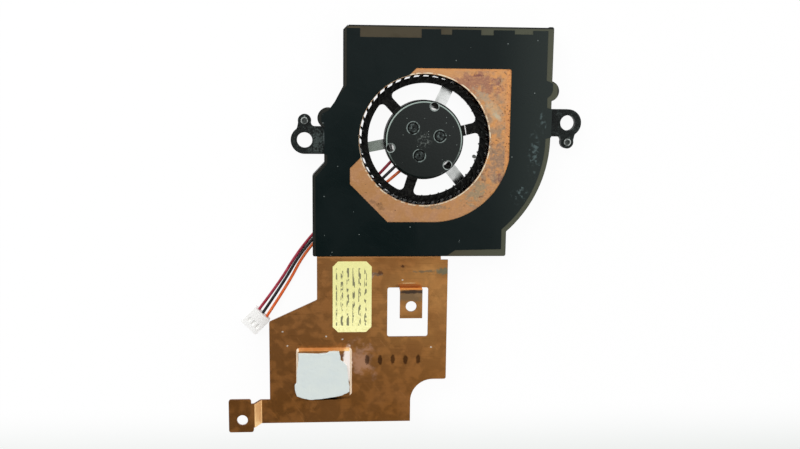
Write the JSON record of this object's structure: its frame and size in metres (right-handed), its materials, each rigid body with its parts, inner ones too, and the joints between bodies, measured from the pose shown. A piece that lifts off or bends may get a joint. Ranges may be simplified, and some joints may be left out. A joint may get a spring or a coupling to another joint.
{
  "type": "laptop cooling fan heatsink",
  "caption": "Flat laptop blower fan whose copper cover runs on into a stepped heat-spreader plate with a thermal pad, raised screw tabs, black insulating film and a wired plug.",
  "frame": {"origin": "on the fan's axis, on the outer face of the steel far cover that the module lies on", "axes": "+Y along the module's length, from the spreader plate towards the air exhaust; +Z out of the copper cover, towards the circuit board that it cools; +X to the right seen from there"},
  "size_m": [0.0788, 0.0902, 0.0091],
  "materials": {
    "copper_plate": "satin copper sheet, tarnished",
    "film_backing": "smoky translucent film",
    "black_film": "fine matt",
    "thermal_pad": "soft silicone",
    "label": "matt paper",
    "fan_frame": "fine moulded grain",
    "locating_pins": "plain",
    "base_plate": "satin sheet",
    "fin_stack": "plain sheet",
    "bearing_sleeve": "sintered",
    "thrust_pad": "plain",
    "motor_board": "solder mask",
    "board_parts": "plain",
    "stator_core": "laminated",
    "stator_insulator": "plain",
    "stator_coils": "enamelled wire",
    "lead_red": "smooth insulation",
    "lead_black": "smooth insulation",
    "lead_orange": "smooth insulation",
    "connector_housing": "moulded nylon",
    "connector_contacts": "tinned",
    "impeller": "moulded",
    "balance_weight": "hardened paste",
    "rotor_yoke": "drawn",
    "magnet_ring": "bonded ferrite",
    "shaft": "ground"
  },
  "bodies": {
    "housing": {"copper_plate": "copper_plate", "film_backing": "film_backing", "black_film": "black_film", "thermal_pad": "thermal_pad", "label": "label", "fan_frame": "fan_frame", "locating_pins": "locating_pins", "base_plate": "base_plate", "fin_stack": "fin_stack", "bearing_sleeve": "bearing_sleeve", "thrust_pad": "thrust_pad", "motor_board": "motor_board", "board_parts": "board_parts", "stator_core": "stator_core", "stator_insulator": "stator_insulator", "stator_coils": "stator_coils", "lead_red": "lead_red", "lead_black": "lead_black", "lead_orange": "lead_orange", "connector_housing": "connector_housing", "connector_contacts": "connector_contacts"},
    "rotor": {"impeller": "impeller", "balance_weight": "balance_weight", "rotor_yoke": "rotor_yoke", "magnet_ring": "magnet_ring", "shaft": "shaft"}
  },
  "joints": [
    {"name": "rotor_spin", "type": "hinge", "parent": "housing", "child": "rotor", "pos_m": [0, 0, 0], "axis": [0, 0, 1], "continuous": true}
  ]
}
